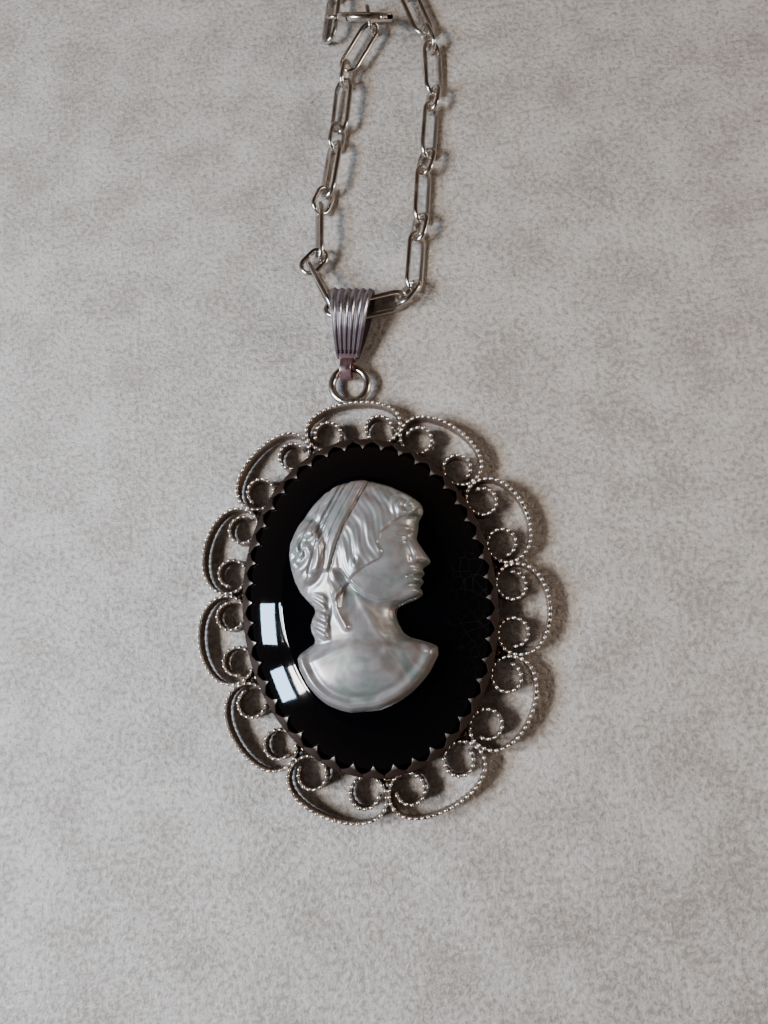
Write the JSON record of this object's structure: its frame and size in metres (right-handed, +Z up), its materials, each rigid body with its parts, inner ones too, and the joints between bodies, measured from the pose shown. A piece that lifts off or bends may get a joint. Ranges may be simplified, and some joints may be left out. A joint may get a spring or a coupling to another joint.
{
  "type": "cameo pendant",
  "caption": "Oval black glass pendant with a mother-of-pearl bust in relief, a scrolled silver border, a fluted bail and a chain of long and short links, lying flat.",
  "frame": {"origin": "middle of the setting's flat back, on the surface that the pendant lies on", "axes": "+Z up, out of the stone's table; +Y along the stone's long way, from the bust's cut edge to its crown and on to the bail and the chain"},
  "size_m": [0.0927, 0.2456, 0.0099],
  "materials": {
    "silver": "aged silver, polished on the high edges and brown in the hollows",
    "black_glass": "polished opaque black",
    "nacre": "polished mother of pearl"
  },
  "bodies": {
    "necklace": {"setting": "silver", "stone": "black_glass", "cameo": "nacre", "bail": "silver", "chain_front": "silver", "chain_back": "silver", "clasp_ring": "silver"},
    "bolt": {"clasp_bolt": "silver"}
  },
  "joints": [
    {"name": "bolt_slide", "type": "hinge", "parent": "necklace", "child": "bolt", "pos_m": [0.00756, 0.08417, 0.004], "axis": [0.1325, 0.6819, 0.7193], "range_deg": [0, 60], "stiffness_Nm_per_rad": 0.0002}
  ]
}
